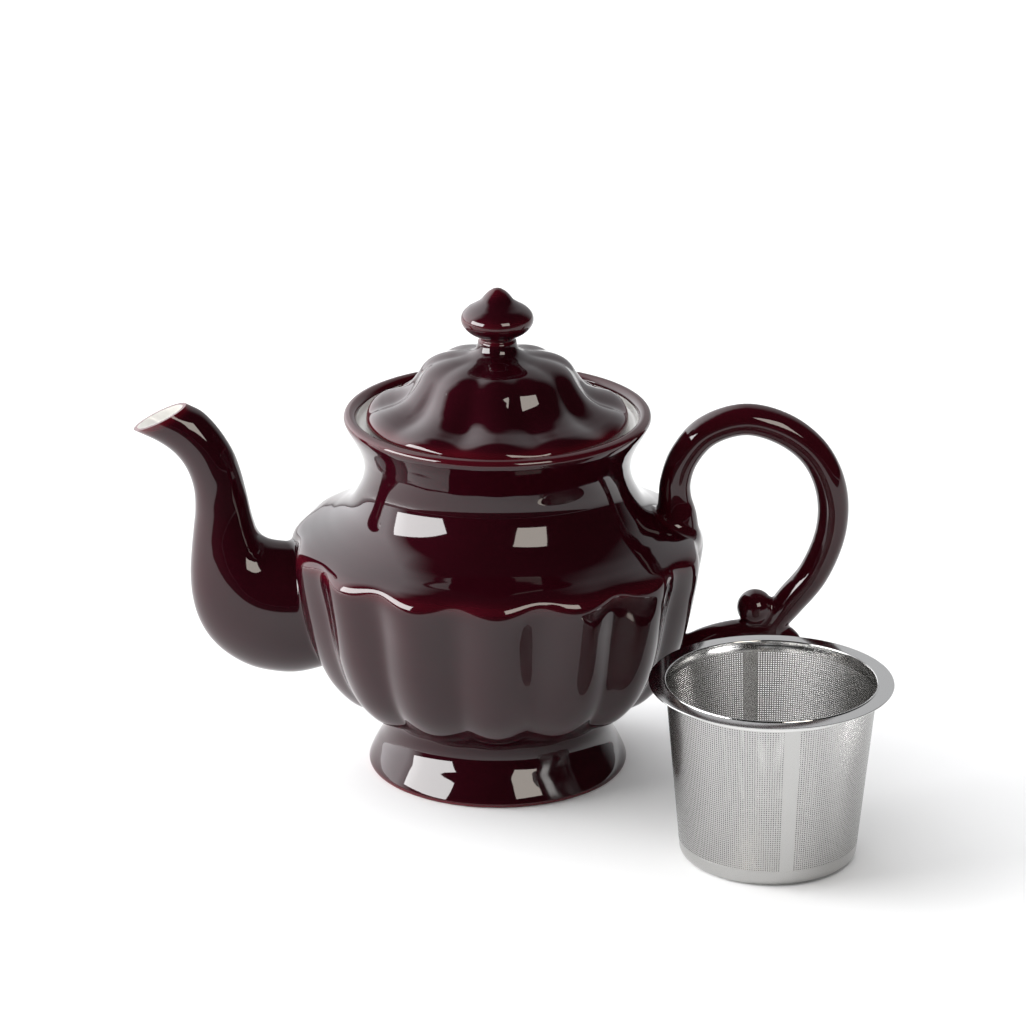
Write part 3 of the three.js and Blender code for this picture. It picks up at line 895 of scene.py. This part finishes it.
def make_wall():
    """Perforated wall in panels, with a plain vertical band at its seam and opposite."""
    middle = tube_radius((HOLES_TOP + HOLES_BOTTOM) / 2)
    per_panel = round(2 * math.pi * middle / WALL_PANELS / HOLE_COLUMN_PITCH)
    columns = per_panel * WALL_PANELS
    hole_rows = round((HOLES_TOP - HOLES_BOTTOM) / HOLE_ROW_PITCH)
    row_edges = np.linspace(HOLES_BOTTOM, HOLES_TOP, hole_rows + 1)
    up = np.concatenate([[CUP_TOP - WALL_OVERLAP], row_edges, [COLLAR_BOTTOM + WALL_OVERLAP]])
    turns = np.arange(columns + 1) / columns * 2 * math.pi
    centres = (turns[:-1] + turns[1:]) / 2
    plain = np.zeros(columns, bool)
    for band in BAND_ANGLES:
        gap = np.abs((centres - band + math.pi) % (2 * math.pi) - math.pi)
        plain |= gap * middle < BAND_WIDTH / 2
    row_holed = np.ones(hole_rows + 2, bool)
    row_holed[[0, -1]] = False

    def place(angle, height, side):
        radius = tube_radius(height) - WALL_INSET - side * (SHEET - 2 * WALL_INSET)
        return np.stack([radius * np.sin(angle / middle), -radius * np.cos(angle / middle), height], -1)

    made = []
    for panel in range(WALL_PANELS):
        own = slice(panel * per_panel, (panel + 1) * per_panel + 1)
        holed = np.outer(~plain[own][:per_panel], row_holed)
        made.append(perforated_sheet(f"infuser_mesh_{panel}", place, turns[own] * middle, up, holed))
        paint(made[-1], [SHEET_STEEL])
    return made


def make_cup():
    """Plain cup edge round the perforated floor."""
    side = tube_radius(CUP_EDGE_RADIUS)
    corner = CUP_EDGE_RADIUS

    def arc(radius, angles):
        return [(side - corner + radius * math.sin(a), corner - radius * math.cos(a)) for a in angles]

    quarter = np.linspace(0, math.pi / 2, 8)
    cup = ring_solid("infuser_cup", [
        (FLOOR_RADIUS, 0.0),
        *arc(corner, quarter),
        (tube_radius(CUP_TOP), CUP_TOP),
        (tube_radius(CUP_TOP) - SHEET, CUP_TOP),
        *arc(corner - SHEET, quarter[::-1]),
        (FLOOR_RADIUS, SHEET),
    ])
    paint(cup, [SHEET_STEEL])
    return cup


def make_floor_disc():
    """Perforated floor: a square grid of cells, bent round onto the floor's edge."""
    cells = round(2 * FLOOR_RADIUS / HOLE_COLUMN_PITCH)
    edges = np.linspace(-FLOOR_RADIUS, FLOOR_RADIUS, cells + 1)
    middle = (edges[:-1] + edges[1:]) / 2
    holed = np.hypot(middle[:, None], middle[None, :]) < FLOOR_RADIUS - FLOOR_PLAIN_EDGE
    bent_from = FLOOR_RADIUS - FLOOR_BENT_EDGE

    def place(u, v, side):
        square = np.maximum(np.abs(u), np.abs(v))
        distance = np.hypot(u, v)
        pulled = np.maximum(square, bent_from) / np.maximum(distance, 1e-6)
        scale = np.where(distance > bent_from, pulled, 1.0)
        return np.stack([u * scale, v * scale, np.full_like(u, SHEET * (1 - side))], -1)

    disc = perforated_sheet("infuser_floor", place, edges, edges, holed)
    paint(disc, [SHEET_STEEL])
    return disc


# ---------------------------------------------------------------- assembly

def ride_and_replace(obj, body, slot, *nodes):
    """Puts a piece on a body in place of the CAD nodes named; slot is not used."""
    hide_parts(*nodes)
    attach(obj, body)


def cut_port(pot):
    """Cuts the round hole through the body's wall into the spout."""
    bpy.ops.mesh.primitive_cylinder_add(
        vertices=64,
        radius=PORT_RADIUS * MM,
        depth=(PORT_REACH[1] - PORT_REACH[0]) * MM,
        location=(POT_AXIS[0] + sum(PORT_REACH) / 2 * MM, POT_AXIS[1], PORT_HEIGHT * MM),
        rotation=(0, math.pi / 2, 0),
    )
    cutter = bpy.context.object
    cutter.data.materials.append(WHITE)
    cut = pot.modifiers.new("port", "BOOLEAN")
    cut.operation = "DIFFERENCE"
    cut.solver = "EXACT"
    cut.object = cutter
    bpy.context.view_layer.objects.active = pot
    bpy.ops.object.modifier_apply(modifier=cut.name)
    bpy.data.objects.remove(cutter, do_unlink=True)


pot = make_pot()
cut_port(pot)
ride_and_replace(pot, "pot", "glaze", "pot_body", "foot")
ride_and_replace(make_spout(), "pot", "glaze", "spout")
ride_and_replace(make_handle(), "pot", "glaze", "handle_loop", "handle_bead", "handle_arm")
ride_and_replace(make_lid(), "lid", "glaze", "lid", "lid_knob")
ride_and_replace(make_flange(), "infuser", "steel", "infuser_rim")
for panel in make_wall():
    ride_and_replace(panel, "infuser", "perforated_steel", "infuser_wall")
ride_and_replace(make_cup(), "infuser", "perforated_steel", "infuser_base")
ride_and_replace(make_floor_disc(), "infuser", "perforated_steel", "infuser_base")


# ---------------------------------------------------------------- table, light and camera

# The camera is a long lens well back; sizes are in metres from here on, and the lens is in mm.
FOCAL_LENGTH = 147.4
SENSOR = 36.0
CAMERA_ELEVATION = math.radians(20.2)
CAMERA_DISTANCE = 1.491
LOOK_AT = POT_AXIS + np.array([0.0055, 0.0, 0.0939])

FLOOR_SIZE = 30.0
FLOOR_GREY = 0.9
PAPER_FRONT = -0.46
# The dark sheet past the paper's front is a painted reflection of the unlit room in front, seen only in
# glossy surfaces.
DARK_REFLECTION_SHEET_SIZE = 8.0
DARK_REFLECTION_SHEET_GREY = 0.04
PAPER_ROUGHNESS = 0.9

LIGHTS_AIM = POT_AXIS + np.array([0.0, 0.0, 0.08])
LIGHT_DISTANCE = 1.6

# The walls lie behind the pot and a little to its left. They fade in over a range of how far a
# direction goes that way, fade out over a range of how far it goes up, and dim from left to middle.
WALLS_LIE = (-0.35, 1.0, 0.0)
FADE_IN = (0.15, 0.5)
FADE_OUT_UPWARDS = (0.84, 0.93)
LEFT_TO_MIDDLE = (-0.8, 0.0)
LEFT_BRIGHTNESS = 3.6
MIDDLE_BRIGHTNESS = 0.62
DARK_ROOM = (0.02, 0.02, 0.02)
WALL_WHITE = (1.0, 1.01, 1.03)


def add_sheet(name, size, centre, grey):
    """Square matt sheet that lies flat."""
    bpy.ops.mesh.primitive_plane_add(size=size, location=centre)
    sheet = bpy.context.object
    sheet.name = name
    material, _, shader = new_material(name + "_paper", (grey, grey, grey), PAPER_ROUGHNESS)
    shader.inputs["Specular IOR Level"].default_value = 0.0
    sheet.data.materials.append(material)
    return sheet


def add_table():
    """White paper, and past its front edge a painted reflection: a dark sheet, standing for the unlit
    room in front, that shows only in glossy surfaces.
    """
    add_sheet("floor", FLOOR_SIZE, (0, 0, 0), FLOOR_GREY)
    middle = (0, PAPER_FRONT - DARK_REFLECTION_SHEET_SIZE / 2, 0.001)
    # Painted reflection: this dark sheet shows only in glossy surfaces, as the unlit room in front; the
    # camera, diffuse light and shadows pass through it.
    dark = add_sheet("dark_reflection_sheet", DARK_REFLECTION_SHEET_SIZE, middle, DARK_REFLECTION_SHEET_GREY)
    dark.visible_camera = False
    dark.visible_diffuse = False
    dark.visible_shadow = False


def direction(azimuth, elevation):
    """Unit vector; azimuth 0 is the front, -Y, and 90 is +X, both angles in degrees."""
    a, e = math.radians(azimuth), math.radians(elevation)
    return np.array([math.sin(a) * math.cos(e), -math.cos(a) * math.cos(e), math.sin(e)])


def add_light(name, azimuths, elevations, radiance, seen_in_gloss,
              colour=(1, 1, 1), distance=LIGHT_DISTANCE):
    """Rectangular light that fills a range of azimuth and elevation, in degrees, as seen from the pot.

    It either shows in glossy surfaces and lights nothing else, or lights things softly unseen.
    """
    middle = direction(sum(azimuths) / 2, sum(elevations) / 2)
    light = bpy.data.lights.new(name, "AREA")
    light.shape = "RECTANGLE"
    light.size = 2 * distance * math.tan(math.radians(azimuths[1] - azimuths[0]) / 2)
    light.size_y = 2 * distance * math.tan(math.radians(elevations[1] - elevations[0]) / 2)
    light.energy = radiance * math.pi * light.size * light.size_y
    light.color = colour
    obj = bpy.data.objects.new(name, light)
    bpy.context.scene.collection.objects.link(obj)
    obj.location = LIGHTS_AIM + distance * middle
    obj.rotation_euler = Vector(-middle).to_track_quat("-Z", "Y").to_euler()
    obj.visible_glossy = seen_in_gloss
    obj.visible_diffuse = not seen_in_gloss
    obj.visible_camera = False


def add_world():
    """Pale walls behind, brighter to the left and darkening upwards, and a dark room in front."""
    world = bpy.data.worlds.new("studio")
    bpy.context.scene.world = world
    world.use_nodes = True
    tree = world.node_tree
    coordinates = tree.nodes.new("ShaderNodeTexCoord")
    split = tree.nodes.new("ShaderNodeSeparateXYZ")
    tree.links.new(coordinates.outputs["Generated"], split.inputs["Vector"])
    facing = tree.nodes.new("ShaderNodeVectorMath")
    facing.operation = "DOT_PRODUCT"
    facing.inputs[1].default_value = WALLS_LIE
    tree.links.new(coordinates.outputs["Generated"], facing.inputs[0])
    behind = ranged(tree, facing.outputs["Value"], 0.0, 1.0, *FADE_IN)
    low = ranged(tree, split.outputs["Z"], 1.0, 0.0, *FADE_OUT_UPWARDS)
    side = ranged(tree, split.outputs["X"], LEFT_BRIGHTNESS, MIDDLE_BRIGHTNESS, *LEFT_TO_MIDDLE)
    strength = product(tree, product(tree, behind, low), side)
    colour = mixed(tree, strength, DARK_ROOM, WALL_WHITE)
    colour.node.clamp_factor = False
    tree.links.new(colour, tree.nodes["Background"].inputs["Color"])


def add_camera():
    """Camera in front of the pot, a little above it."""
    data = bpy.data.cameras.new("camera")
    data.lens = FOCAL_LENGTH
    data.sensor_width = SENSOR
    data.clip_end = 100.0
    camera = bpy.data.objects.new("camera", data)
    bpy.context.scene.collection.objects.link(camera)
    back = np.array([0, -math.cos(CAMERA_ELEVATION), math.sin(CAMERA_ELEVATION)])
    camera.location = LOOK_AT + CAMERA_DISTANCE * back
    camera.rotation_euler = (math.pi / 2 - CAMERA_ELEVATION, 0, 0)
    bpy.context.scene.camera = camera


add_table()
add_world()
# The first two only show in glossy surfaces, and the others only light.
add_light("left_softbox", (-89, -45), (6, 30), 16.0, True)
add_light("right_softbox", (17, 40), (19, 42), 8.0, True, colour=(1, 0.93, 0.84))
add_light("overhead", (-55, 55), (65, 155), 1.0, False, distance=2.2)
add_light("left_fill", (-115, -65), (0, 22), 17.0, False)
add_light("front_fill", (-50, 50), (5, 60), 0.75, False)
add_camera()

bpy.context.scene.view_settings.view_transform = "Standard"
